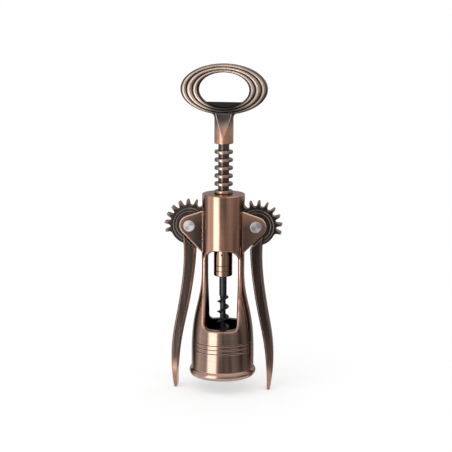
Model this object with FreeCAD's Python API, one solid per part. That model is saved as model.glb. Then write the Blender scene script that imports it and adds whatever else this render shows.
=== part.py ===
import FreeCAD, Part
import math
import os

# Wing corkscrew. Millimetres. +Z is up, and the origin is the centre of the bell's mouth.
# The wings hang along -X and +X, and the windows face -Y and +Y.

# Drive: the gear sectors and the ringed rack share one pitch
ring_pitch = 4.8
teeth_per_turn = 18
mesh_offset = 0.25              # share of a pitch by which a ring sits above the pivots
tooth_addendum = 1.65
ring_tip_gap = 0.8              # from the ring's rim to the pitch circle of the gears
handle_stroke = 29.0
stop_gap = 1.1                  # left between handle and body at the end of the stroke

# Rack sleeve, with its round rings
ring_radius = 5.55
ring_thickness = 2.1
ring_edge_round = 0.6
sleeve_radius = 3.3
sleeve_wall = 1.05
sleeve_foot = 4.3               # from the lowest ring to the sleeve's lower end
sleeve_neck = 3.6               # least plain stretch above the top ring

# Spindle rod, chuck and pin
rod_seat_in_handle = 9.0
rod_seat_in_chuck = 5.0
chuck_radius = 5.6
chuck_length = 22.9
chuck_edge_round = 0.6
chuck_groove_heights = (3.2, 6.5)
chuck_groove_width = 0.45
chuck_groove_depth = 0.25
pin_radius = 0.7
pin_height = 13.4               # above the chuck's lower end
pin_recess = 1.0

# Worm
worm_shank_radius = 2.25
worm_seat = 16.4                # depth of the shank in the chuck
worm_reach = 47.1               # from the chuck's lower end to the tip
worm_core_radius = 1.75
flight_radius = 3.8
flight_pitch = 6.35
flight_length = 33.5            # from the tip to where the blade starts to fade
flight_fade = 1.5
flight_root_width = 2.0
flight_start_angle = -122.0
sections_per_turn = 8
point_length = 9.0
point_radius = 0.3

# Bell and upper body
bottle_bore_radius = 15.6
mouth_depth = 13.5
liner_wall = 1.4
lip_seat_width = 1.4
bell_wall = 1.9
bead_height = 4.6
bead_bulge = 1.3
bead_foot_step = 0.4
bell_straight_height = 14.0
shoulder_drop = 12.8            # of the shoulder's upper end below the windows' top
shoulder_pull_low = 0.55        # shares of the shoulder's height that shape its S curve
shoulder_pull_high = 0.41
body_radius = 12.85
body_top = 111.3
body_edge_round = 0.6
leg_wall = 2.65
cavity_straight_height = 34.0
cavity_taper_drop = 15.8        # of the taper's upper end below the windows' top
bell_groove_heights = (16.3, 18.85, 21.4)
bell_groove_width = 0.55
bell_groove_depth = 0.35

# Windows
window_side_margin = 3.45       # of the windows' sides inside the body's outline
window_bottom = 30.5
window_drop = 14.2              # of the windows' top below the pivots
window_low_corner = 2.8
window_high_corner = 6.5
window_edge_round = 1.4

# Ears and pivot rivets
pivot_drop = 19.3               # of the pivots below the body's top
ear_thickness = 1.8
ear_nose_radius = 6.2
ear_low_slope = 45.0
ear_high_slope = 18.5
ear_root_depth = 3.0
ear_edge_round = 0.7
rivet_radius = 2.4
rivet_head_radius = 3.5
rivet_head_height = 0.9
rivet_head_round = 0.35

# Levers
gear_thickness = 5.4
tooth_depth = 3.7
tooth_count = 11
tooth_tip_half_width = 0.72
tooth_foot_half_width = 1.1
tooth_foot_rise = 0.6
disc_groove_radii = (8.4, 10.1)
disc_groove_round = 0.5
arm_gap = 1.1                   # between the ears' lower edge and the arm's slanted top
arm_setback = 0.1               # of the arm's faces behind the ears' faces
arm_chamfer = 0.8
arm_top_inner = -3.6            # places along the arm are measured from the pivot
arm_top_outer = 4.0
arm_stations = ((34.0, -1.8, 4.45), (52.5, 1.4, 7.35), (71.3, 5.25, 10.4), (86.0, 6.95, 10.8))
arm_end_station = (100.0, 7.35, 9.35)
arm_taper_start = 80.0
arm_tip_half_thickness = 3.6

# Opener handle and cap lifter
neck_radius = 5.7
neck_length = 17.3              # from the neck's lower end to the foot of the ring
neck_edge_round = 0.5
ring_outer_half_width = 25.9
ring_outer_half_height = 15.05
hole_half_width = 15.0
hole_half_height = 10.3
hole_drop = 0.4                 # of the hole's centre below the ring's centre
ridge_count = 3
ridge_crest = 3.1
ridge_valley = 2.35
ridge_edge = 1.5
scoop_start = 2.7               # of the scoop's lowest point above the neck's lower end
scoop_length_radius = 41.0      # seen from the side
scoop_cross_radius = 30.0       # seen from above
scoop_sweep = 45.0
gusset_reach = 2.1              # along X, from the neck to where the gusset meets the ring
lifter_thickness = 2.0
lifter_rise = 3.0               # of the lifter's edge above the hole's lowest point
lifter_seat = 1.5

# Clearances, all radial or per side
guide_clearance = 0.2
running_clearance = 0.05
seat_clearance = 0.04
pivot_clearance = 0.06
side_clearance = 0.2
end_clearance = 0.1
slot_clearance = 0.8

# Worked out from the driving dimensions
tooth_angle = 360.0 / teeth_per_turn
pitch_radius = teeth_per_turn * ring_pitch / (2 * math.pi)
gear_tip_radius = pitch_radius + tooth_addendum
gear_root_radius = gear_tip_radius - tooth_depth
pivot_x = pitch_radius + ring_tip_gap + ring_radius
guide_radius = max(ring_radius, chuck_radius) + guide_clearance
liner_outer_radius = bottle_bore_radius + liner_wall
pocket_radius = liner_outer_radius + seat_clearance
bell_radius = pocket_radius + bell_wall
cavity_radius = bottle_bore_radius - lip_seat_width
cavity_top_radius = body_radius - leg_wall
pivot_height = body_top - pivot_drop
window_half_width = body_radius - window_side_margin
window_top = pivot_height - window_drop
ear_inner_y = gear_thickness / 2 + side_clearance
ear_outer_y = ear_inner_y + ear_thickness
arm_half_thickness = ear_outer_y - arm_setback
neck_bottom = body_top + handle_stroke + stop_gap
ring_centre_z = neck_bottom + neck_length + ring_outer_half_height
hole_centre_z = ring_centre_z - hole_drop
lifter_edge_z = hole_centre_z - hole_half_height + lifter_rise
lowest_ring_z = pivot_height - (1 - mesh_offset) * ring_pitch
ring_room = neck_bottom - sleeve_neck - lowest_ring_z
ring_count = int(ring_room / ring_pitch) + 1
sleeve_bottom = lowest_ring_z - sleeve_foot
sleeve_top = neck_bottom - end_clearance
sleeve_bore_radius = sleeve_radius - sleeve_wall
rod_radius = sleeve_bore_radius - running_clearance
chuck_top = sleeve_bottom - end_clearance
chuck_bottom = chuck_top - chuck_length
worm_tip = chuck_bottom - worm_reach

tolerance = 0.01                # for picking edges by their place
overcut = 1.0                   # by which a cutting tool passes the face it cuts through
z_axis = FreeCAD.Vector(0, 0, 1)
y_axis = FreeCAD.Vector(0, 1, 0)
origin = FreeCAD.Vector(0, 0, 0)


def xz(x, z):
    """A point of the XZ plane."""
    return FreeCAD.Vector(x, 0, z)


def line(start, end):
    return Part.LineSegment(start, end).toShape()


def arc(start, middle, end):
    return Part.Arc(start, middle, end).toShape()


def spline(points):
    curve = Part.BSplineCurve()
    curve.interpolate(points)
    return curve.toShape()


def bezier(points):
    curve = Part.BezierCurve()
    curve.setPoles(points)
    return curve.toShape()


def ellipse(half_width, half_height, centre):
    """An ellipse that faces along Y."""
    curve = Part.Ellipse(centre, half_width, half_height)
    curve.Axis = y_axis
    curve.XAxis = FreeCAD.Vector(1, 0, 0)
    return curve


def polar(centre, radius, degrees):
    angle = math.radians(degrees)
    return centre + xz(radius * math.cos(angle), radius * math.sin(angle))


def face_of(edges):
    return Part.Face(Part.Wire(Part.__sortEdges__(edges)))


def polygon(points):
    return Part.Face(Part.makePolygon(points + points[:1]))


def turned(face):
    """The solid that a face of the XZ plane makes about the Z axis."""
    return face.revolve(origin, z_axis, 360)


def cylinder(radius, low, high):
    return Part.makeCylinder(radius, high - low, xz(0, low), z_axis)


def cross_cylinder(radius, x, z, half_length):
    """A cylinder along Y."""
    return Part.makeCylinder(radius, 2 * half_length, FreeCAD.Vector(x, -half_length, z), y_axis)


def slab(face, half_thickness):
    """A face of the XZ plane, thickened to both sides along Y."""
    placed = face.copy()
    placed.translate(FreeCAD.Vector(0, -half_thickness, 0))
    return placed.extrude(FreeCAD.Vector(0, 2 * half_thickness, 0))


def is_across_y(edge):
    """True for an edge that lies in a plane square to Y."""
    return edge.BoundBox.YLength < tolerance


def mirrored(shape):
    """The shape on the other side of the YZ plane."""
    return shape.mirror(origin, FreeCAD.Vector(1, 0, 0))


def v_groove(radius, height, width, depth):
    """A ring that cuts a V groove into a round surface of that radius."""
    outside = radius + width
    spread = width / 2 * (outside - radius + depth) / depth
    corners = [xz(radius - depth, height), xz(outside, height - spread), xz(outside, height + spread)]
    return turned(polygon(corners))


def rounded_rod(radius, low, high, edge_round):
    """A cylinder with both end edges rounded."""
    rod = cylinder(radius, low, high)
    ends = [edge for edge in rod.Edges if edge.BoundBox.ZLength < edge_round]
    return rod.makeFillet(edge_round, ends)


# Bell frame

def outer_form():
    """The upper body, shoulder, bell and foot bead as one turned solid."""
    shoulder_top = window_top - shoulder_drop
    shoulder_height = shoulder_top - bell_straight_height
    edges = [
        line(xz(0, 0), xz(bell_radius + bead_foot_step, 0)),
        arc(
            xz(bell_radius + bead_foot_step, 0),
            xz(bell_radius + bead_bulge, bead_height / 2),
            xz(bell_radius, bead_height),
        ),
        line(xz(bell_radius, bead_height), xz(bell_radius, bell_straight_height)),
        bezier([
            xz(bell_radius, bell_straight_height),
            xz(bell_radius, bell_straight_height + shoulder_pull_low * shoulder_height),
            xz(body_radius, shoulder_top - shoulder_pull_high * shoulder_height),
            xz(body_radius, shoulder_top),
        ]),
        line(xz(body_radius, shoulder_top), xz(body_radius, body_top)),
        line(xz(body_radius, body_top), xz(0, body_top)),
        line(xz(0, body_top), xz(0, 0)),
    ]
    solid = turned(face_of(edges))
    rim = [edge for edge in solid.Edges if edge.BoundBox.ZMin > body_top - body_edge_round]
    rim = [edge for edge in rim if edge.BoundBox.XLength > body_radius]
    return solid.makeFillet(body_edge_round, rim)


def window_outline():
    """The window seen from the front: tight lower corners and wide upper ones."""
    w = window_half_width
    low = window_low_corner
    high = window_high_corner
    diagonal = 1 - math.sqrt(0.5)
    edges = [
        line(xz(low - w, window_bottom), xz(w - low, window_bottom)),
        line(xz(w, window_bottom + low), xz(w, window_top - high)),
        line(xz(w - high, window_top), xz(high - w, window_top)),
        line(xz(-w, window_top - high), xz(-w, window_bottom + low)),
    ]
    for side in (-1, 1):
        edges.append(arc(
            xz(side * (w - low), window_bottom),
            xz(side * (w - low * diagonal), window_bottom + low * diagonal),
            xz(side * w, window_bottom + low),
        ))
        edges.append(arc(
            xz(side * w, window_top - high),
            xz(side * (w - high * diagonal), window_top - high * diagonal),
            xz(side * (w - high), window_top),
        ))
    return face_of(edges)


def cut_windows(solid):
    """Front and rear window in one cut, with a rounded edge on the outside."""
    opened = solid.cut(slab(window_outline(), 2 * bell_radius))
    rims = []
    for edge in opened.Edges:
        box = edge.BoundBox
        inside_width = max(-box.XMin, box.XMax) < window_half_width + tolerance
        inside_height = box.ZMin > window_bottom - tolerance and box.ZMax < window_top + tolerance
        on_one_side = box.YMin * box.YMax > 0
        if inside_width and inside_height and on_one_side:
            rims.append(edge)
    return opened.makeFillet(window_edge_round, rims)


def ear_outline():
    """Rounded triangle about the right pivot, running into the body."""
    pivot = xz(pivot_x, pivot_height)
    root_x = body_radius - ear_root_depth
    low_touch = polar(pivot, ear_nose_radius, ear_low_slope - 90)
    nose = polar(pivot, ear_nose_radius, (ear_low_slope - ear_high_slope) / 2)
    high_touch = polar(pivot, ear_nose_radius, 90 - ear_high_slope)
    low_drop = (low_touch.x - root_x) * math.tan(math.radians(ear_low_slope))
    high_rise = (high_touch.x - root_x) * math.tan(math.radians(ear_high_slope))
    low_root = xz(root_x, low_touch.z - low_drop)
    high_root = xz(root_x, high_touch.z + high_rise)
    return face_of([
        line(low_root, low_touch),
        arc(low_touch, nose, high_touch),
        line(high_touch, high_root),
        line(high_root, low_root),
    ])


def right_ears():
    """The front and the rear ear of the right side, with rounded outer edges."""
    ears = []
    for side in (-1, 1):
        ear = slab(ear_outline(), ear_thickness / 2)
        ear.translate(FreeCAD.Vector(0, side * (ear_inner_y + ear_thickness / 2), 0))
        rim = []
        for edge in ear.Edges:
            on_outer_face = is_across_y(edge) and abs(edge.CenterOfMass.y) > ear_outer_y - tolerance
            if on_outer_face and edge.BoundBox.XMax > body_radius:
                rim.append(edge)
        ears.append(ear.makeFillet(ear_edge_round, rim))
    return ears


def cavity():
    """Mouth pocket for the liner, lip seat, and the room above it, as one turned solid."""
    pocket_depth = mouth_depth + end_clearance
    taper_top = window_top - cavity_taper_drop
    taper_middle = (cavity_straight_height + taper_top) / 2
    edges = [
        line(xz(0, -overcut), xz(pocket_radius, -overcut)),
        line(xz(pocket_radius, -overcut), xz(pocket_radius, pocket_depth)),
        line(xz(pocket_radius, pocket_depth), xz(cavity_radius, pocket_depth)),
        line(xz(cavity_radius, pocket_depth), xz(cavity_radius, cavity_straight_height)),
        bezier([
            xz(cavity_radius, cavity_straight_height),
            xz(cavity_radius, taper_middle),
            xz(cavity_top_radius, taper_middle),
            xz(cavity_top_radius, taper_top),
        ]),
        line(xz(cavity_top_radius, taper_top), xz(cavity_top_radius, window_top)),
        line(xz(cavity_top_radius, window_top), xz(0, window_top)),
        line(xz(0, window_top), xz(0, -overcut)),
    ]
    return turned(face_of(edges))


def gear_slot():
    """The slot through which the right gear reaches the rack."""
    reach = math.sqrt(gear_tip_radius ** 2 - (pivot_x - body_radius) ** 2)
    half_height = reach + slot_clearance
    length = pivot_x - guide_radius / 2
    corner = FreeCAD.Vector(guide_radius / 2, -ear_inner_y, pivot_height - half_height)
    return Part.makeBox(length, 2 * ear_inner_y, 2 * half_height, corner)


def bell_frame():
    solid = cut_windows(outer_form())
    ears = right_ears()
    ears = ears + [mirrored(ear) for ear in ears]
    solid = solid.fuse(ears)
    solid = solid.cut(cavity())
    solid = solid.cut(cylinder(guide_radius, window_top - overcut, body_top + overcut))
    slot = gear_slot()
    hole = cross_cylinder(rivet_radius + seat_clearance, pivot_x, pivot_height, 2 * ear_outer_y)
    solid = solid.cut([slot, mirrored(slot), hole, mirrored(hole)])
    for height in bell_groove_heights:
        radius = solid.slice(z_axis, height)[0].BoundBox.XMax
        solid = solid.cut(v_groove(radius, height, bell_groove_width, bell_groove_depth))
    return solid.removeSplitter()


def neck_ring():
    ring = cylinder(liner_outer_radius, 0, mouth_depth)
    return ring.cut(cylinder(bottle_bore_radius, -overcut, mouth_depth + overcut))


def right_pivot_rivet():
    """A shank through both ears, with a low rounded head on each side."""
    rivet = cross_cylinder(rivet_radius, pivot_x, pivot_height, ear_outer_y)
    heads = []
    for side in (-1, 1):
        start = FreeCAD.Vector(pivot_x, side * ear_outer_y, pivot_height)
        direction = FreeCAD.Vector(0, side, 0)
        head = Part.makeCylinder(rivet_head_radius, rivet_head_height, start, direction)
        rim = [edge for edge in head.Edges if is_across_y(edge)]
        rim = [edge for edge in rim if abs(edge.CenterOfMass.y) > ear_outer_y + tolerance]
        heads.append(head.makeFillet(rivet_head_round, rim))
    return rivet.fuse(heads)


# Levers

def gear_outline():
    """Eleven thin teeth with round tips and roots, on a smooth disc."""
    pivot = xz(pivot_x, pivot_height)
    foot_radius = gear_root_radius + tooth_foot_rise
    tip_base_radius = gear_tip_radius - tooth_tip_half_width
    foot_angle = math.degrees(tooth_foot_half_width / foot_radius)
    tip_angle = math.degrees(tooth_tip_half_width / tip_base_radius)
    last_centre = 180 + mesh_offset * tooth_angle
    edges = []
    for index in range(tooth_count):
        centre = last_centre - index * tooth_angle
        high_foot = polar(pivot, foot_radius, centre + foot_angle)
        high_tip = polar(pivot, tip_base_radius, centre + tip_angle)
        low_tip = polar(pivot, tip_base_radius, centre - tip_angle)
        low_foot = polar(pivot, foot_radius, centre - foot_angle)
        edges.append(line(high_foot, high_tip))
        edges.append(arc(high_tip, polar(pivot, gear_tip_radius, centre), low_tip))
        edges.append(line(low_tip, low_foot))
        if index < tooth_count - 1:
            space_bottom = polar(pivot, gear_root_radius, centre - tooth_angle / 2)
            next_foot = polar(pivot, foot_radius, centre - tooth_angle + foot_angle)
            edges.append(arc(low_foot, space_bottom, next_foot))
    first_angle = last_centre - (tooth_count - 1) * tooth_angle
    disc_start = polar(pivot, gear_root_radius, first_angle - tooth_angle / 2)
    disc_end = polar(pivot, gear_root_radius, last_centre + tooth_angle / 2)
    edges.append(line(polar(pivot, foot_radius, first_angle - foot_angle), disc_start))
    edges.append(arc(disc_start, polar(pivot, gear_root_radius, 270), disc_end))
    edges.append(line(disc_end, polar(pivot, foot_radius, last_centre + foot_angle)))
    return face_of(edges)


def arm_outline():
    """The right arm from the front, without its round tip: slanted top and S-shaped edges."""
    pivot = xz(pivot_x, pivot_height)
    slant_foot = polar(pivot, ear_nose_radius + arm_gap, ear_low_slope - 90)
    slope = math.tan(math.radians(ear_low_slope))
    top_inner = xz(pivot_x + arm_top_inner, 0)
    top_outer = xz(pivot_x + arm_top_outer, 0)
    for corner in (top_inner, top_outer):
        corner.z = slant_foot.z + (corner.x - slant_foot.x) * slope
    inner = [top_inner]
    outer = [top_outer]
    for drop, inner_x, outer_x in arm_stations + (arm_end_station,):
        inner.append(pivot + xz(inner_x, -drop))
        outer.append(pivot + xz(outer_x, -drop))
    return face_of([
        line(top_inner, top_outer),
        spline(outer),
        line(outer[-1], inner[-1]),
        spline(inner),
    ])


def arm_side_form():
    """The arm from the side: straight, then tapering to the tip."""
    top = pivot_height
    taper = pivot_height - arm_taper_start
    bottom = pivot_height - arm_end_station[0] - arm_end_station[2] + arm_end_station[1]
    t = arm_half_thickness
    corners = [(-t, top), (t, top), (t, taper), (arm_tip_half_thickness, bottom)]
    corners = corners + [(-arm_tip_half_thickness, bottom), (-t, taper)]
    face = polygon([FreeCAD.Vector(0, y, z) for y, z in corners])
    return face.extrude(FreeCAD.Vector(2 * pivot_x, 0, 0))


def right_arm():
    """The arm with bevelled long edges, a round tip and thinner towards it."""
    arm = slab(arm_outline(), arm_half_thickness)
    drop, inner_x, outer_x = arm_end_station
    long_edges = []
    for edge in arm.Edges:
        if is_across_y(edge) and edge.BoundBox.ZLength > drop / 2:
            long_edges.append(edge)
    arm = arm.makeChamfer(arm_chamfer, long_edges)
    tip_radius = (outer_x - inner_x) / 2
    tip_x = pivot_x + inner_x + tip_radius
    tip = cross_cylinder(tip_radius, tip_x, pivot_height - drop, arm_half_thickness)
    circles = [edge for edge in tip.Edges if is_across_y(edge)]
    tip = tip.makeChamfer(arm_chamfer, circles)
    return arm.fuse(tip).common(arm_side_form())


def right_lever():
    gear = slab(gear_outline(), gear_thickness / 2)
    grooves = []
    for side in (-1, 1):
        for radius in disc_groove_radii:
            centre = FreeCAD.Vector(pivot_x, side * gear_thickness / 2, pivot_height)
            grooves.append(Part.makeTorus(radius, disc_groove_round, centre, y_axis))
    lever = gear.cut(grooves).fuse(right_arm())
    bore = cross_cylinder(rivet_radius + pivot_clearance, pivot_x, pivot_height, gear_thickness)
    return lever.cut(bore).removeSplitter()


# Rack and spindle

def rack_sleeve():
    sleeve = cylinder(sleeve_radius, sleeve_bottom, sleeve_top)
    rings = []
    for index in range(ring_count):
        middle = lowest_ring_z + index * ring_pitch
        low = middle - ring_thickness / 2
        rings.append(rounded_rod(ring_radius, low, low + ring_thickness, ring_edge_round))
    sleeve = sleeve.fuse(rings)
    return sleeve.cut(cylinder(sleeve_bore_radius, sleeve_bottom - overcut, sleeve_top + overcut))


def spindle_rod():
    return cylinder(rod_radius, chuck_top - rod_seat_in_chuck, neck_bottom + rod_seat_in_handle)


def worm_chuck():
    chuck = rounded_rod(chuck_radius, chuck_bottom, chuck_top, chuck_edge_round)
    for height in chuck_groove_heights:
        groove = v_groove(chuck_radius, chuck_bottom + height, chuck_groove_width, chuck_groove_depth)
        chuck = chuck.cut(groove)
    rod_hole = cylinder(rod_radius + seat_clearance, chuck_top - rod_seat_in_chuck, chuck_top + overcut)
    shank_hole_radius = worm_shank_radius + seat_clearance
    shank_hole = cylinder(shank_hole_radius, chuck_bottom - overcut, chuck_bottom + worm_seat)
    return chuck.cut([rod_hole, shank_hole, pin_hole()])


def pin_hole():
    return cross_cylinder(pin_radius + seat_clearance, 0, chuck_bottom + pin_height, 2 * chuck_radius)


def worm_pin():
    return cross_cylinder(pin_radius, 0, chuck_bottom + pin_height, chuck_radius - pin_recess)


def worm_section(height):
    """The worm's outline at a height above its tip: a round core with one sharp lobe."""
    grown = min(1.0, height / point_length)
    edge_radius = point_radius + (flight_radius - point_radius) * grown
    core_radius = min(worm_core_radius, edge_radius)
    fade = max(0.0, height - flight_length) / flight_fade
    edge_radius += (worm_shank_radius - edge_radius) * fade
    core_radius += (worm_shank_radius - core_radius) * fade
    half_lobe = 180.0 * flight_root_width / flight_pitch
    turn = flight_start_angle + 360.0 * height / flight_pitch

    def rim(angle, share):
        radius = core_radius + (edge_radius - core_radius) * share
        radians = math.radians(turn + angle)
        return FreeCAD.Vector(radius * math.cos(radians), radius * math.sin(radians), worm_tip + height)

    return Part.Wire([
        arc(rim(-half_lobe, 0), rim(-half_lobe / 2, 0.5), rim(0, 1)),
        arc(rim(0, 1), rim(half_lobe / 2, 0.5), rim(half_lobe, 0)),
        arc(rim(half_lobe, 0), rim(180, 0), rim(-half_lobe, 0)),
    ])


def worm():
    """A blade wound about the core down to the point, and a plain shank."""
    blade_top = flight_length + flight_fade
    steps = round(blade_top / flight_pitch * sections_per_turn)
    sections = [worm_section(blade_top * index / steps) for index in range(steps + 1)]
    blade = Part.makeLoft(sections, True, False)
    shank_length = chuck_bottom + worm_seat - worm_tip - blade_top
    shank = Part.Face(sections[-1]).extrude(xz(0, shank_length))
    return blade.fuse(shank).cut(pin_hole())


# Opener handle

def oval(share, y):
    """An oval between the hole (share 0) and the ring's outside (share 1), at that Y."""
    half_width = hole_half_width + (ring_outer_half_width - hole_half_width) * share
    half_height = hole_half_height + (ring_outer_half_height - hole_half_height) * share
    return ellipse(half_width, half_height, FreeCAD.Vector(0, y, hole_centre_z + hole_drop * share))


def oval_surface(controls):
    """The surface over a row of control ovals, given as pairs of share and Y."""
    rows = [oval(share, y).toBSpline() for share, y in controls]
    degree = len(rows) - 1
    surface = Part.BSplineSurface()
    surface.buildFromPolesMultsKnots(
        [row.getPoles() for row in rows],
        [degree + 1, degree + 1], rows[0].getMultiplicities(),
        [0.0, 1.0], rows[0].getKnots(),
        False, rows[0].isPeriodic(),
        degree, rows[0].Degree,
        [row.getWeights() for row in rows],
    )
    return surface.toShape()


def ridge_surface(index, side):
    """One ridge, from its inner valley over the crest to its outer valley."""
    inner = ridge_edge if index == 0 else ridge_valley
    outer = ridge_edge if index == ridge_count - 1 else ridge_valley
    pull = (4 * ridge_crest - inner - outer) / 2
    return oval_surface([
        (index / ridge_count, side * inner),
        ((index + 0.5) / ridge_count, side * pull),
        ((index + 1) / ridge_count, side * outer),
    ])


def ridged_ring():
    """The oval ring: a row of ridges on each face, and plain inner and outer walls."""
    faces = [oval_surface([(share, -ridge_edge), (share, ridge_edge)]) for share in (0, 1)]
    for side in (-1, 1):
        for index in range(ridge_count):
            faces.append(ridge_surface(index, side))
    shell = Part.makeShell(faces)
    shell.sewShape()
    ring = Part.makeSolid(shell)
    if ring.Volume < 0:
        ring.reverse()
    return ring


def scoop(side):
    """A hollow that starts level with the neck's face and deepens towards the ring."""
    start = FreeCAD.Vector(0, side * neck_radius, neck_bottom + scoop_start)
    outwards = FreeCAD.Vector(0, side, 0)
    section = Part.Circle(start + outwards * scoop_cross_radius, z_axis, scoop_cross_radius)
    centre = start - outwards * scoop_length_radius
    turn_axis = FreeCAD.Vector(side, 0, 0)
    return Part.Face(Part.Wire(section.toShape())).revolve(centre, turn_axis, scoop_sweep)


def neck():
    """The round neck with a scoop at front and back."""
    top = neck_bottom + neck_length + ridge_crest
    rod = cylinder(neck_radius, neck_bottom, top)
    foot = [edge for edge in rod.Edges if edge.BoundBox.ZMax < neck_bottom + neck_edge_round]
    rod = rod.makeFillet(neck_edge_round, foot)
    for side in (-1, 1):
        rod = rod.cut(scoop(side))
    return rod


def handle_gusset():
    """The fillet between neck and ring on the right, tangent to both, seen from the front."""
    touch_x = neck_radius + gusset_reach
    across = touch_x / ring_outer_half_width
    down = math.sqrt(1 - across ** 2)
    touch = xz(touch_x, ring_centre_z - ring_outer_half_height * down)
    normal = xz(across / ring_outer_half_width, -down / ring_outer_half_height).normalize()
    radius = gusset_reach / (1 - normal.x)
    centre = touch + normal * radius
    start = xz(neck_radius, centre.z)
    middle = centre + (touch - centre + start - centre).normalize() * radius
    inside = touch + xz(0, ridge_crest)
    return slab(face_of([
        line(xz(0, centre.z), start),
        arc(start, middle, touch),
        line(touch, inside),
        line(inside, xz(0, inside.z)),
        line(xz(0, inside.z), xz(0, centre.z)),
    ]), ridge_edge)


def lifter_form(clearance):
    """The plate that closes the hole's lower end, larger by the clearance all round."""
    half_width = hole_half_width + lifter_seat + clearance
    half_height = hole_half_height + lifter_seat + clearance
    outline = Part.Wire(ellipse(half_width, half_height, xz(0, hole_centre_z)).toShape())
    plate = slab(Part.Face(outline), lifter_thickness / 2 + clearance)
    edge = lifter_edge_z + clearance
    corner = FreeCAD.Vector(-2 * half_width, -lifter_thickness, edge)
    above = Part.makeBox(4 * half_width, 2 * lifter_thickness, 4 * half_height, corner)
    return plate.cut(above)


def opener_handle():
    gusset = handle_gusset()
    handle = ridged_ring().fuse([neck(), gusset, mirrored(gusset)])
    hole = slab(Part.Face(Part.Wire(oval(0, 0).toShape())), neck_radius)
    handle = handle.cut(hole)
    seat_top = neck_bottom + rod_seat_in_handle
    rod_hole = cylinder(rod_radius + seat_clearance, neck_bottom - overcut, seat_top)
    return handle.cut([rod_hole, lifter_form(seat_clearance)]).removeSplitter()


def save(name, shape):
    shape.exportStep("parts/" + name + ".step")
    print(name, "valid" if shape.isValid() else "not valid", len(shape.Solids), round(shape.Volume, 1))


os.makedirs("parts", exist_ok=True)

rivet = right_pivot_rivet()
lever = right_lever()

save("bell_frame", bell_frame())
save("neck_ring", neck_ring())
save("left_pivot_rivet", mirrored(rivet))
save("right_pivot_rivet", rivet)
save("left_lever", mirrored(lever))
save("right_lever", lever)
save("rack_sleeve", rack_sleeve())
save("spindle_rod", spindle_rod())
save("worm_chuck", worm_chuck())
save("worm_pin", worm_pin())
save("worm", worm())
save("opener_handle", opener_handle())
save("cap_lifter_plate", lifter_form(0))
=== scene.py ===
import math

import bpy
from mathutils import Matrix, Vector


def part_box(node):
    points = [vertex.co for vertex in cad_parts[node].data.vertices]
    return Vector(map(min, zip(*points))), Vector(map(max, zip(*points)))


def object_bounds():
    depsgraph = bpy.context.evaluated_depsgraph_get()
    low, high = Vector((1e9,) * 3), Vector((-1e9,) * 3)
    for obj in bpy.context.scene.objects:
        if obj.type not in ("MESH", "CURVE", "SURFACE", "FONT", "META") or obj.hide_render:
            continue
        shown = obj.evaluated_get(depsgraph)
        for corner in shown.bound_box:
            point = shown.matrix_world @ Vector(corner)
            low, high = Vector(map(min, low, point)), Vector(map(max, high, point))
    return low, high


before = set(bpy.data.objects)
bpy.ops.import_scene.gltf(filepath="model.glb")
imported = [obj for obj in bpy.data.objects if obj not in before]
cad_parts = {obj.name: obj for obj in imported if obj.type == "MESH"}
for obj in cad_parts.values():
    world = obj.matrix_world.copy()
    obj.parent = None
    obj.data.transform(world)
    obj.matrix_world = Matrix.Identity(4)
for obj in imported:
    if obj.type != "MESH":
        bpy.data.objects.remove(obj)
cad_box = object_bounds()
mm = 0.001
ground = cad_box[0].z - 0.05 * mm
rivet_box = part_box("right_pivot_rivet")
pivot_x = (rivet_box[0].x + rivet_box[1].x) / 2
pivot_z = (rivet_box[0].z + rivet_box[1].z) / 2
body_radius = 12.85 * mm
ears_foot_z = 68 * mm
bell_top_z = 60 * mm
bead_top_z = 5 * mm
first_line_z = 16.3 * mm
line_spacing = 2.55 * mm
line_count = 3
gear_face = 2.7 * mm
disc_radius = 12.5 * mm
ring_foot_z = 158.7 * mm
ring_middle_z = 173.7 * mm
camera_azimuth = 5.5


# Camera, at the photograph's viewing angle

def make_camera():
    azimuth = math.radians(camera_azimuth)
    elevation = math.radians(10.8)
    roll = math.radians(0.37)
    distance = 860 * mm
    aim_height = 91.4 * mm
    aim_aside = 1.6 * mm
    back = Vector((
        math.sin(azimuth) * math.cos(elevation),
        -math.cos(azimuth) * math.cos(elevation),
        math.sin(elevation),
    ))
    right = Vector((math.cos(azimuth), math.sin(azimuth), 0))
    camera = bpy.data.objects.new("camera", bpy.data.cameras.new("camera"))
    camera.data.lens = 113.9
    camera.data.sensor_width = 36
    camera.data.clip_start = 0.05
    camera.data.clip_end = 20
    camera.rotation_mode = "QUATERNION"
    turn = Matrix.Rotation(roll, 3, "Z").to_quaternion()
    camera.rotation_quaternion = (-back).to_track_quat("-Z", "Y") @ turn
    camera.location = Vector((0, 0, aim_height)) + right * aim_aside + back * distance
    bpy.context.scene.collection.objects.link(camera)
    bpy.context.scene.camera = camera


# Node helpers

def new_material(name):
    material = bpy.data.materials.new(name)
    material.use_nodes = True
    tree = material.node_tree
    tree.nodes.clear()
    return material, tree


def node(tree, kind, **values):
    made = tree.nodes.new(kind)
    for key, value in values.items():
        setattr(made, key, value)
    return made


def fill(tree, sockets, values):
    """Link or set each socket from an output, a number or a tuple; None leaves it."""
    for socket, value in zip(sockets, values):
        if isinstance(value, bpy.types.NodeSocket):
            tree.links.new(value, socket)
        elif value is not None:
            socket.default_value = value


def calc(tree, operation, *values, clamp=False):
    made = node(tree, "ShaderNodeMath", operation=operation, use_clamp=clamp)
    fill(tree, made.inputs, values)
    return made.outputs[0]


def vector_calc(tree, operation, *values):
    """The result of the operation, which is a number for LENGTH and DOT_PRODUCT."""
    made = node(tree, "ShaderNodeVectorMath", operation=operation)
    fill(tree, made.inputs, values)
    return made.outputs["Value" if operation in ("LENGTH", "DOT_PRODUCT") else "Vector"]


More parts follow.
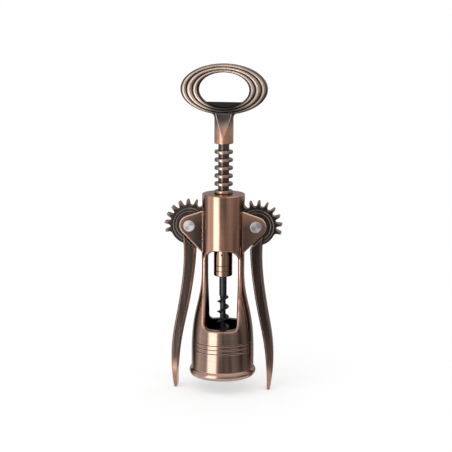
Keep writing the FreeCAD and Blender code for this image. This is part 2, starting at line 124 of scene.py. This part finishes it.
def rescale(tree, value, low, high, new_low=0.0, new_high=1.0):
    """new_low where the value is low, new_high where it is high, and a smooth step between."""
    made = node(tree, "ShaderNodeMapRange", interpolation_type="SMOOTHSTEP")
    fill(tree, made.inputs, (value, low, high, new_low, new_high))
    return made.outputs[0]


def blend(tree, factor, a, b):
    """Colour a where the factor is 0 and colour b where it is 1."""
    made = node(tree, "ShaderNodeMix", data_type="RGBA")
    colours = [(*value, 1) if isinstance(value, tuple) else value for value in (a, b)]
    fill(tree, (made.inputs[0], made.inputs[6], made.inputs[7]), (factor, *colours))
    return made.outputs[2]


def blend_value(tree, factor, a, b):
    made = node(tree, "ShaderNodeMix", data_type="FLOAT")
    fill(tree, (made.inputs[0], made.inputs[2], made.inputs[3]), (factor, a, b))
    return made.outputs[0]


def blend_vector(tree, factor, a, b):
    made = node(tree, "ShaderNodeMix", data_type="VECTOR")
    fill(tree, (made.inputs[0], made.inputs[4], made.inputs[5]), (factor, a, b))
    return made.outputs[1]


def coordinates(tree, vector):
    parts = node(tree, "ShaderNodeSeparateXYZ")
    tree.links.new(vector, parts.inputs[0])
    return parts.outputs


def place(tree):
    """The point on the object, in metres in the part's own frame."""
    return node(tree, "ShaderNodeTexCoord").outputs["Object"]


def surface_normal(tree):
    return node(tree, "ShaderNodeNewGeometry").outputs["Normal"]


def flattened_length(tree, vector, weights):
    """Length of the vector once each of its coordinates is multiplied by its weight."""
    return vector_calc(tree, "LENGTH", vector_calc(tree, "MULTIPLY", vector, weights))


def noise(tree, scale, offset=0.0, detail=2.0):
    """Smooth noise from about 0.3 to 0.7, with a scale for each axis."""
    mapping = node(tree, "ShaderNodeMapping")
    mapping.inputs["Location"].default_value = (offset, offset, offset)
    mapping.inputs["Scale"].default_value = scale
    tree.links.new(place(tree), mapping.inputs["Vector"])
    made = node(tree, "ShaderNodeTexNoise")
    made.inputs["Scale"].default_value = 1.0
    made.inputs["Detail"].default_value = detail
    tree.links.new(mapping.outputs[0], made.inputs["Vector"])
    return made.outputs["Fac"]


def openness(tree, reach):
    """1 on open surface and towards 0 in grooves and corners."""
    made = node(tree, "ShaderNodeAmbientOcclusion", samples=8, only_local=True)
    made.inputs["Distance"].default_value = reach
    return rescale(tree, made.outputs["AO"], 0.35, 0.9)


def rounded_normal(tree, reach):
    """The normal with the convex edges rounded off to this radius."""
    rounded = node(tree, "ShaderNodeBevel", samples=6)
    rounded.inputs["Radius"].default_value = reach
    convex = rescale(tree, openness(tree, 3 * reach), 0.88, 0.99)
    mixed = blend_vector(tree, convex, surface_normal(tree), rounded.outputs[0])
    return vector_calc(tree, "NORMALIZE", mixed)


def facing(tree, axis, normal=None):
    """How squarely the normal, by default the surface's own, lies along the axis, either way."""
    normal = normal or surface_normal(tree)
    return calc(tree, "ABSOLUTE", coordinates(tree, normal)[axis])


def edge_wear(tree, rounded):
    """1 along the edges, where the rounded normal leaves the true one."""
    match = vector_calc(tree, "DOT_PRODUCT", rounded, surface_normal(tree))
    return rescale(tree, match, 0.995, 0.93)


def finish_shader(tree, shader):
    output = node(tree, "ShaderNodeOutputMaterial")
    tree.links.new(shader.outputs[0], output.inputs[0])


def metal(tree, bright, dark, share, roughness, lines, rounded=None, rubbed=0.0, coat=0.0, bump=0.02,
          rubbed_roughness=0.5):
    """Metal between its bright and dark finish by the share, with brush lines and rubbed edges."""
    shader = node(tree, "ShaderNodeBsdfPrincipled")
    shader.inputs["Metallic"].default_value = 1.0
    shader.inputs["Coat Weight"].default_value = coat
    shader.inputs["Coat Roughness"].default_value = 0.12
    tree.links.new(blend(tree, share, dark, bright), shader.inputs["Base Color"])
    unrubbed = rescale(tree, share, 0.0, 1.0, roughness * 1.2, roughness)
    tree.links.new(blend_value(tree, rubbed, unrubbed, rubbed_roughness), shader.inputs["Roughness"])
    bumped = node(tree, "ShaderNodeBump")
    inputs = [bumped.inputs[name] for name in ("Strength", "Distance", "Height", "Normal")]
    fill(tree, inputs, (bump, 0.1 * mm, lines, rounded))
    tree.links.new(bumped.outputs[0], shader.inputs["Normal"])
    finish_shader(tree, shader)
    return shader


def brush(tree, shader, amount):
    """Stretch the reflections across brush lines that run round the worm's axis."""
    shader.inputs["Anisotropic"].default_value = amount
    shader.inputs["Anisotropic Rotation"].default_value = 0.25
    tangent = node(tree, "ShaderNodeTangent", direction_type="RADIAL", axis="Z")
    tree.links.new(tangent.outputs[0], shader.inputs["Tangent"])


# Colours

copper = (0.56, 0.29, 0.20)
bell_foot_copper = (0.50, 0.32, 0.25)
rubbed_copper = (0.80, 0.50, 0.38)
ear_rim_copper = (0.95, 0.70, 0.56)
patina = (0.085, 0.060, 0.048)
# The ears' dark, painted darker on the left ear than on the right as shading.
left_ear_shaded_patina = (0.030, 0.021, 0.017)
right_ear_lit_patina = (0.060, 0.042, 0.033)
# Near-black painted shade for the bell's inward faces.
inside_painted_shade = (0.010, 0.009, 0.008)
# Darker than the body's copper: painted shade for the chuck inside the body.
dimmed_chuck_copper = (0.44, 0.25, 0.18)
ring_copper = (0.62, 0.48, 0.39)
rubbed_ring_copper = (0.90, 0.74, 0.62)
ring_patina = (0.034, 0.027, 0.023)
lever_tip_copper = (0.50, 0.27, 0.19)
rubbed_lever_copper = (0.66, 0.44, 0.34)
disc_black = (0.030, 0.024, 0.021)
# Painted highlight along the gear disc's turned grooves.
disc_groove_highlight_grey = (0.22, 0.19, 0.17)
upper_arm_black = (0.043, 0.031, 0.026)
rack_ring_copper = (0.56, 0.32, 0.23)
gear_worn_steel = (0.20, 0.19, 0.17)
rack_black = (0.075, 0.068, 0.062)
rivet_crest_steel = (0.50, 0.49, 0.475)
rivet_groove_steel = (0.07, 0.067, 0.064)
worn_edge_grey = (0.16, 0.15, 0.14)


# Bell, body and chuck

def turned_lines(tree):
    """Fine brush lines round the worm's axis."""
    return noise(tree, (25, 25, 1300), detail=4.0)


def brushed_share(tree, lines, offset):
    """Rubbed copper, mottled along the brush lines."""
    smudges = rescale(tree, noise(tree, (190, 190, 16), offset, 3.0), 0.46, 0.64, 0.0, 0.65)
    mottle = rescale(tree, lines, 0.25, 0.75, 1.08, 0.92)
    return calc(tree, "MULTIPLY", calc(tree, "SUBTRACT", 1.0, smudges), mottle)


def ear_mask(tree, z, radius):
    """1 on the ears, which are what stands outside the body above their foot."""
    outside_body = rescale(tree, radius, body_radius + 0.05 * mm, body_radius + 0.3 * mm)
    above_foot = rescale(tree, z, ears_foot_z, ears_foot_z + 2 * mm)
    return calc(tree, "MULTIPLY", outside_body, above_foot)


def ear_painted_light(tree, right, z, radius):
    """Share of copper on the ears' flat faces, painted light: least beside the body and low down as painted
    shade, more towards the top as a painted sheen, and more on the right ear than on the left.
    """
    by_body = blend_value(tree, right, 0.0, 0.12)
    by_rim = blend_value(tree, right, 0.25, 0.45)
    at_top = blend_value(tree, right, 0.15, 0.60)
    ear_sheen = rescale(tree, radius, body_radius + 0.5 * mm, body_radius + 13 * mm, by_body, by_rim)
    top_sheen = rescale(tree, z, pivot_z - 2 * mm, pivot_z + 8 * mm, 0.0, at_top)
    return calc(tree, "ADD", ear_sheen, top_sheen, clamp=True)


def off_bell_lines(tree, z):
    """Distance from the nearest of the turned lines round the bell."""
    turns = calc(tree, "DIVIDE", calc(tree, "SUBTRACT", z, first_line_z), line_spacing)
    turns = calc(tree, "MINIMUM", calc(tree, "MAXIMUM", turns, -0.5), line_count - 0.5)
    offset = calc(tree, "SUBTRACT", turns, calc(tree, "ROUND", turns))
    return calc(tree, "MULTIPLY", calc(tree, "ABSOLUTE", offset), line_spacing)


def line_rims(tree, off_line):
    """The rubbed rims on both sides of each turned line."""
    off_rim = calc(tree, "ABSOLUTE", calc(tree, "SUBTRACT", off_line, 0.46 * mm))
    return rescale(tree, off_rim, 0.16 * mm, 0.04 * mm, 0.0, 0.6)


def bell_outside(tree, from_axis):
    """1 on the outside and on the level faces, 0 on the faces that look at the worm, which are painted
    near-black as shade.
    """
    outwards = vector_calc(tree, "NORMALIZE", from_axis)
    facing_out = vector_calc(tree, "DOT_PRODUCT", outwards, surface_normal(tree))
    facing_out = rescale(tree, facing_out, -0.35, -0.15)
    return calc(tree, "MAXIMUM", facing_out, rescale(tree, facing(tree, "Z"), 0.75, 0.9))


def bell_share(tree, lines, z, off_line, on_ear, ear_share):
    """Share of bright copper before the edges are rubbed: duller down the bell, bright on the bead."""
    share = calc(tree, "MULTIPLY", brushed_share(tree, lines, 7.9), openness(tree, 1.8 * mm))
    share = blend_value(tree, on_ear, share, ear_share)
    share = calc(tree, "MULTIPLY", share, rescale(tree, z, bell_top_z, 14 * mm, 1.0, 0.60))
    bead = rescale(tree, z, bead_top_z + 0.4 * mm, bead_top_z - 0.4 * mm, 0.0, 0.85)
    share = calc(tree, "MAXIMUM", share, bead)
    return calc(tree, "MULTIPLY", share, rescale(tree, off_line, 0.16 * mm, 0.34 * mm))


def bell_copper(name):
    """Brushed antique copper of the bell and body, its inside painted near-black as shade, its edges rubbed
    bright.
    """
    material, tree = new_material(name)
    x, _, z = coordinates(tree, place(tree))
    from_axis = vector_calc(tree, "MULTIPLY", place(tree), (1, 1, 0))
    radius = vector_calc(tree, "LENGTH", from_axis)
    right = rescale(tree, x, -1 * mm, 1 * mm)
    lines = turned_lines(tree)
    on_ear = ear_mask(tree, z, radius)
    off_line = off_bell_lines(tree, z)
    outside = bell_outside(tree, from_axis)
    rounded = blend_vector(tree, on_ear, rounded_normal(tree, 0.5 * mm), rounded_normal(tree, 1.1 * mm))
    ear_rim = rescale(tree, facing(tree, "Y", rounded), 0.98, 0.86)
    ear_rim = calc(tree, "MULTIPLY", on_ear, ear_rim)
    rubbed = calc(tree, "MAXIMUM", edge_wear(tree, rounded), ear_rim)
    rubbed = calc(tree, "MAXIMUM", rubbed, line_rims(tree, off_line))
    share = bell_share(tree, lines, z, off_line, on_ear, ear_painted_light(tree, right, z, radius))
    share = calc(tree, "MAXIMUM", share, rubbed, clamp=True)
    # Painted shade: no bright copper on the faces that look at the worm.
    share = calc(tree, "MULTIPLY", share, outside)
    bright = blend(tree, rescale(tree, z, bell_top_z, 20 * mm), copper, bell_foot_copper)
    bright = blend(tree, rubbed, bright, blend(tree, ear_rim, rubbed_copper, ear_rim_copper))
    # Painted shading: the left ear's dark is darker than the right's.
    ear_dark = blend(tree, right, left_ear_shaded_patina, right_ear_lit_patina)
    # Painted shade: the faces that look at the worm take the near-black inside colour.
    dark = blend(tree, outside, inside_painted_shade, blend(tree, on_ear, patina, ear_dark))
    shader = metal(tree, bright, dark, share, 0.18, lines, rounded, ear_rim, coat=0.5, rubbed_roughness=0.36)
    brush(tree, shader, 0.85)
    return material


def chuck_copper(name):
    """Brushed copper of the worm chuck, painted darker than the body's copper as shade, with rubbed edges."""
    material, tree = new_material(name)
    lines = turned_lines(tree)
    share = calc(tree, "MULTIPLY", brushed_share(tree, lines, 8.1), openness(tree, 0.8 * mm))
    rounded = rounded_normal(tree, 0.3 * mm)
    share = calc(tree, "MAXIMUM", share, edge_wear(tree, rounded), clamp=True)
    shader = metal(tree, dimmed_chuck_copper, patina, share, 0.17, lines, rounded, coat=0.3)
    brush(tree, shader, 0.85)
    return material


# Ring handle

def ring_valleys(tree, y, z):
    """1 in the valleys between the ring's ridges, but not on its outer rim: the dark there is partly patina
    and partly painted shade.
    """
    in_ring = rescale(tree, z, ring_foot_z, ring_foot_z + 1.5 * mm)
    low = rescale(tree, calc(tree, "ABSOLUTE", y), 2.90 * mm, 2.58 * mm)
    from_middle = vector_calc(tree, "SUBTRACT", place(tree), (0, 0, ring_middle_z))
    outwards = vector_calc(tree, "NORMALIZE", vector_calc(tree, "MULTIPLY", from_middle, (1, 0, 1)))
    rim = vector_calc(tree, "DOT_PRODUCT", outwards, surface_normal(tree))
    rim = rescale(tree, rim, 0.70, 0.90)
    return calc(tree, "MULTIPLY", low, calc(tree, "SUBTRACT", in_ring, rim, clamp=True))


def ring_share(tree, x, y, z, neck):
    """Share of bright copper, which grows with the distance from the ring's foot and is painted lower towards
    the ring's right side as shade.
    """
    share = rescale(tree, noise(tree, (110, 110, 110), 1.3), 0.35, 0.65, 0.75, 1.0)
    from_foot = vector_calc(tree, "SUBTRACT", place(tree), (0, 0, ring_foot_z + 2 * mm))
    reach = flattened_length(tree, from_foot, (0.8, 0, 1))
    share = calc(tree, "MULTIPLY", share, rescale(tree, reach, 4 * mm, 14 * mm, 0.05, 1.0))
    # Painted shade: the ring is darker towards its right side.
    share = calc(tree, "MULTIPLY", share, rescale(tree, x, 4 * mm, 16 * mm, 1.0, 0.70))
    share = calc(tree, "MULTIPLY", share, calc(tree, "SUBTRACT", 1.0, ring_valleys(tree, y, z)))
    return calc(tree, "MAXIMUM", share, calc(tree, "MULTIPLY", neck, 0.85))


def cast_copper(name):
    """Smooth antique copper of the handle, dark in the ring's valleys, where patina and painted shade lie,
    and towards its foot.
    """
    material, tree = new_material(name)
    x, y, z = coordinates(tree, place(tree))
    grain = noise(tree, (500, 500, 500), detail=3.0)
    neck = rescale(tree, z, ring_foot_z - 3 * mm, ring_foot_z - 12 * mm)
    rounded = rounded_normal(tree, 0.6 * mm)
    below_ring = rescale(tree, z, ring_foot_z + 1 * mm, ring_foot_z)
    rubbed = calc(tree, "MULTIPLY", edge_wear(tree, rounded), below_ring)
    share = calc(tree, "MAXIMUM", ring_share(tree, x, y, z, neck), rubbed, clamp=True)
    bright = blend(tree, rubbed, blend(tree, neck, ring_copper, copper), rubbed_ring_copper)
    metal(tree, bright, ring_patina, share, 0.28, grain, rounded, rubbed, coat=0.3, bump=0.0,
          rubbed_roughness=0.14)
    return material


# Levers

def disc_groove_highlights(tree, reach, on_arm):
    """Painted highlight: lighter grey rings along the two turned grooves round the gear's disc, where the arm
    doesn't cover them.
    """
    off_middle = calc(tree, "ABSOLUTE", calc(tree, "SUBTRACT", reach, 9.25 * mm))
    off_groove = calc(tree, "ABSOLUTE", calc(tree, "SUBTRACT", off_middle, 0.85 * mm))
    grooves = rescale(tree, off_groove, 0.55 * mm, 0.35 * mm, 0.0, 0.5)
    return calc(tree, "MULTIPLY", grooves, calc(tree, "SUBTRACT", 1.0, on_arm))


def lever_share(tree, reach, height, on_arm, tip_start, streak):
    """Share of copper on the teeth, towards the tip, partly wear and partly a painted highlight, and in
    streaks along the arm.
    """
    teeth = rescale(tree, reach, disc_radius, disc_radius + 2.5 * mm, 0.0, 0.6)
    teeth = calc(tree, "MULTIPLY", teeth, calc(tree, "SUBTRACT", 1.0, on_arm))
    tip = rescale(tree, height, -tip_start, -94 * mm, 0.0, 0.7)
    streaks = rescale(tree, noise(tree, (350, 350, 14), 2.1, 3.0), 0.48, 0.72, 0.0, streak)
    share = calc(tree, "MAXIMUM", calc(tree, "MAXIMUM", teeth, tip), streaks)
    return calc(tree, "MULTIPLY", share, openness(tree, 1.2 * mm))


def lever_copper(name, pivot, tip_start, streak, lower_arm_painted_shading):
    """Near-black copper of a lever, with copper teeth, bevels and tip, and painted shading in the dark of its
    lower arm, given per lever.
    """
    material, tree = new_material(name)
    lines = noise(tree, (900, 900, 45), detail=4.0)
    from_pivot = vector_calc(tree, "SUBTRACT", place(tree), (pivot, 0, pivot_z))
    reach = flattened_length(tree, from_pivot, (1, 0, 1))
    _, y, height = coordinates(tree, from_pivot)
    off_gear = rescale(tree, calc(tree, "ABSOLUTE", y), gear_face + 0.2 * mm, gear_face + 0.4 * mm)
    on_arm = calc(tree, "MAXIMUM", off_gear, rescale(tree, height, -9 * mm, -14 * mm))
    off_disc = rescale(tree, reach, disc_radius - 0.5 * mm, disc_radius + 0.5 * mm)
    off_disc = calc(tree, "MAXIMUM", on_arm, off_disc)
    bevel = calc(tree, "MULTIPLY", on_arm, rescale(tree, facing(tree, "Y"), 0.96, 0.80))
    rounded = rounded_normal(tree, 0.4 * mm)
    rubbed = calc(tree, "MULTIPLY", edge_wear(tree, rounded), rescale(tree, off_disc, 0.0, 1.0, 0.12, 0.9))
    rubbed = calc(tree, "MAXIMUM", rubbed, calc(tree, "MULTIPLY", bevel, 0.5))
    share = lever_share(tree, reach, height, on_arm, tip_start, streak)
    share = calc(tree, "MAXIMUM", share, rubbed, clamp=True)
    # Painted shading: the lower arm's dark is given per lever.
    arm_dark_with_painted_shading = blend(tree, rescale(tree, height, -34 * mm, -58 * mm), upper_arm_black, lower_arm_painted_shading)
    dark = blend(tree, off_disc, disc_black, arm_dark_with_painted_shading)
    # Painted highlight: lighter grey rings along the disc's turned grooves.
    dark = blend(tree, disc_groove_highlights(tree, reach, on_arm), dark, disc_groove_highlight_grey)
    bright = blend(tree, rubbed, lever_tip_copper, rubbed_lever_copper)
    metal(tree, bright, dark, share, 0.18, lines, rounded, rubbed, coat=0.2)
    return material


# Rack, rivets and small pieces

def rack_copper(name):
    """Dark turned steel of the rack, with copper on the rings where no gear touches them."""
    material, tree = new_material(name)
    lines = noise(tree, (40, 40, 2500), detail=3.0)
    from_axis = vector_calc(tree, "MULTIPLY", place(tree), (1, 1, 0))
    radius = vector_calc(tree, "LENGTH", from_axis)
    sideways = coordinates(tree, vector_calc(tree, "NORMALIZE", from_axis))["X"]
    sideways = rescale(tree, calc(tree, "ABSOLUTE", sideways), 0.35, 0.75)
    share = calc(tree, "MULTIPLY", rescale(tree, radius, 4.6 * mm, 5.3 * mm), openness(tree, 1.0 * mm))
    bright = blend(tree, sideways, rack_ring_copper, gear_worn_steel)
    shader = metal(tree, bright, rack_black, share, 0.14, lines, coat=0.2)
    brush(tree, shader, 0.5)
    return material


def plain_metal(name, bright, dark, roughness):
    """Plain metal with a fine grain, dark in its corners."""
    material, tree = new_material(name)
    grain = noise(tree, (700, 700, 700), detail=3.0)
    share = calc(tree, "MULTIPLY", rescale(tree, grain, 0.3, 0.6), openness(tree, 0.8 * mm))
    metal(tree, bright, dark, share, roughness, grain)
    return material


def turned_steel(name, centre):
    """Bright steel faced on a lathe, so that its light fans out from the middle."""
    groove_spacing = 0.45 * mm
    material, tree = new_material(name)
    from_centre = vector_calc(tree, "SUBTRACT", place(tree), centre)
    radius = flattened_length(tree, from_centre, (1, 0, 1))
    grooves = calc(tree, "SINE", calc(tree, "MULTIPLY", radius, 2 * math.pi / groove_spacing))
    share = rescale(tree, grooves, -1.0, 1.0, 0.75, 1.0)
    shader = metal(tree, rivet_crest_steel, rivet_groove_steel, share, 0.20, grooves, bump=0.0)
    shader.inputs["Anisotropic"].default_value = 1.0
    shader.inputs["Anisotropic Rotation"].default_value = 0.44
    round_centre = vector_calc(tree, "CROSS_PRODUCT", from_centre, (0.0, 1.0, 0.0))
    tree.links.new(vector_calc(tree, "NORMALIZE", round_centre), shader.inputs["Tangent"])
    return material


def black_coating(name, colour, roughness, specular=0.5):
    """Black satin coating or plastic with a fine grain, worn slightly on its edges."""
    material, tree = new_material(name)
    shader = node(tree, "ShaderNodeBsdfPrincipled")
    grain = noise(tree, (1500, 1500, 1500))
    worn = edge_wear(tree, rounded_normal(tree, 0.15 * mm))
    speckle = blend(tree, grain, tuple(c * 0.7 for c in colour), tuple(c * 1.3 for c in colour))
    shade = blend(tree, calc(tree, "MULTIPLY", worn, 0.5), speckle, worn_edge_grey)
    tree.links.new(shade, shader.inputs["Base Color"])
    shader.inputs["Roughness"].default_value = roughness
    shader.inputs["Specular IOR Level"].default_value = specular
    finish_shader(tree, shader)
    return material


def dress(name, material):
    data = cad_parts[name].data
    data.materials.clear()
    data.materials.append(material)


# World, floor and lights

white = (1, 1, 1, 1)


def background_rays(tree):
    """1 for the rays that show the background: camera, glossy and transmission."""
    path = node(tree, "ShaderNodeLightPath")
    shown = calc(tree, "ADD", path.outputs["Is Camera Ray"], path.outputs["Is Glossy Ray"])
    return calc(tree, "ADD", shown, path.outputs["Is Transmission Ray"], clamp=True)


def make_world():
    """A white background that lights the object at a lower, plain level."""
    world = bpy.data.worlds.new("studio")
    bpy.context.scene.world = world
    world.use_nodes = True
    tree = world.node_tree
    tree.nodes.clear()
    background = node(tree, "ShaderNodeBackground")
    background.inputs["Color"].default_value = white
    strength = node(tree, "ShaderNodeMapRange")
    strength.inputs["To Min"].default_value = 0.65
    strength.inputs["To Max"].default_value = 1.0
    tree.links.new(background_rays(tree), strength.inputs["Value"])
    tree.links.new(strength.outputs[0], background.inputs["Strength"])
    output = node(tree, "ShaderNodeOutputWorld")
    tree.links.new(background.outputs[0], output.inputs[0])


def floor_material():
    """Pale grey that keeps the object's shadow and shows as white."""
    material, tree = new_material("pale_floor")
    diffuse = node(tree, "ShaderNodeBsdfDiffuse")
    diffuse.inputs["Color"].default_value = (0.55, 0.55, 0.55, 1)
    glow = node(tree, "ShaderNodeEmission")
    glow.inputs["Color"].default_value = white
    tree.links.new(calc(tree, "MULTIPLY", background_rays(tree), 0.58), glow.inputs["Strength"])
    both = node(tree, "ShaderNodeAddShader")
    tree.links.new(diffuse.outputs[0], both.inputs[0])
    tree.links.new(glow.outputs[0], both.inputs[1])
    finish_shader(tree, both)
    return material


def make_floor():
    size = 6.0
    mesh = bpy.data.meshes.new("floor")
    corners = [(-size, -size, ground), (size, -size, ground), (size, size, ground), (-size, size, ground)]
    mesh.from_pydata(corners, [], [(0, 1, 2, 3)])
    mesh.materials.append(floor_material())
    floor = bpy.data.objects.new("floor", mesh)
    bpy.context.scene.collection.objects.link(floor)


def surround_material():
    material, tree = new_material("surround")
    radiance = node(tree, "ShaderNodeAttribute", attribute_name="radiance")
    glow = node(tree, "ShaderNodeEmission")
    tree.links.new(radiance.outputs["Fac"], glow.inputs["Strength"])
    finish_shader(tree, glow)
    return material


def between(pairs, x):
    """The value at x on the broken line through the pairs."""
    for (x0, y0), (x1, y1) in zip(pairs, pairs[1:]):
        if x0 <= x <= x1:
            return y0 + (y1 - y0) * (x - x0) / (x1 - x0)


# Outwards and upwards: radius, height and share of the high light
surround_profile = [
    (0.045, ground + 0.1 * mm, 0),
    (0.45, ground + 0.1 * mm, 0),
    (0.45, 0.03, 0),
    (0.45, 0.10, 0.5),
    (0.45, 0.50, 1),
    (0.25, 0.64, 1),
    (0.001, 0.68, 1),
]

# Angle in degrees from the camera's side, positive to the right, and the light there
low_light = [
    (-180, 0.12), (-166, 0.20), (-152, 0.50), (-125, 0.55), (-112, 0.38), (-104, 0.44), (-95, 0.78),
    (-88, 0.95), (-70, 0.76), (-55, 0.90), (-50, 4.0), (-24, 4.0), (-20, 1.3), (-16, 0.60), (-9, 0.40),
    (3, 0.30), (13, 0.23), (23, 0.22), (36, 0.33), (50, 0.24), (68, 0.12), (90, 0.24), (112, 0.26),
    (140, 0.26), (166, 0.15), (180, 0.12),
]
high_light = [
    (-180, 0.40), (-140, 0.45), (-70, 0.90), (60, 1.0), (140, 0.80), (165, 0.40), (180, 0.40),
]


def make_surround():
    """A softbox and grey cards in a ring round the object, seen only in reflections."""
    degrees_per_step = 2
    rows = len(surround_profile)
    points, faces, values = [], [], []
    for column, degrees in enumerate(range(-180, 181, degrees_per_step)):
        angle = math.radians(camera_azimuth + degrees)
        low, high = between(low_light, degrees), between(high_light, degrees)
        for radius, z, share in surround_profile:
            points.append((radius * math.sin(angle), -radius * math.cos(angle), z))
            values.append(low * (1 - share) + high * share)
        if column:
            first = rows * (column - 1)
            faces += [(k, k + rows, k + rows + 1, k + 1) for k in range(first, first + rows - 1)]
    mesh = bpy.data.meshes.new("surround")
    mesh.from_pydata(points, [], faces)
    mesh.attributes.new("radiance", "FLOAT", "POINT").data.foreach_set("value", values)
    mesh.materials.append(surround_material())
    surround = bpy.data.objects.new("surround", mesh)
    bpy.context.scene.collection.objects.link(surround)
    surround.visible_camera = False
    surround.visible_diffuse = False
    surround.visible_shadow = False
    surround.visible_transmission = False


def make_sun():
    """A broad soft lamp from above, left out of reflections."""
    light = bpy.data.lights.new("key_sun", "SUN")
    light.energy = 0.6
    light.angle = math.radians(60)
    lamp = bpy.data.objects.new("key_sun", light)
    lamp.rotation_mode = "QUATERNION"
    lamp.rotation_quaternion = Vector((0.4, 0.5, -0.9)).to_track_quat("-Z", "Y")
    lamp.visible_glossy = False
    bpy.context.scene.collection.objects.link(lamp)


make_camera()
make_world()
make_floor()
make_surround()
make_sun()

dress("bell_frame", bell_copper("bell_copper"))
dress("worm_chuck", chuck_copper("chuck_copper"))
dress("opener_handle", cast_copper("cast_copper"))
# The two levers are painted as lit and shaded copies: the left darker and the right lighter, by their tip
# start, streaks and lower-arm dark.
dress("left_lever", lever_copper(
    "left_lever_copper", -pivot_x, tip_start=80 * mm, streak=0.06, lower_arm_painted_shading=(0.014, 0.010, 0.008)))
dress("right_lever", lever_copper(
    "right_lever_copper", pivot_x, tip_start=56 * mm, streak=0.14, lower_arm_painted_shading=(0.060, 0.044, 0.037)))
dress("rack_sleeve", rack_copper("rack_copper"))
dress("left_pivot_rivet", turned_steel("left_turned_steel", (-pivot_x, 0, pivot_z)))
dress("right_pivot_rivet", turned_steel("right_turned_steel", (pivot_x, 0, pivot_z)))
dress("spindle_rod", plain_metal("rod_steel", bright=(0.5, 0.5, 0.5), dark=(0.2, 0.2, 0.2), roughness=0.3))
dress("worm_pin", plain_metal("pin_steel", bright=(0.10, 0.09, 0.09), dark=(0.02, 0.02, 0.02), roughness=0.3))
dress("worm", black_coating("black_steel", (0.022, 0.022, 0.024), roughness=0.34))
dress("cap_lifter_plate", black_coating("black_plate", (0.006, 0.007, 0.009), roughness=0.40, specular=0.25))
dress("neck_ring", black_coating("black_plastic", (0.02, 0.02, 0.02), roughness=0.5))

bpy.context.scene.view_settings.view_transform = "Standard"
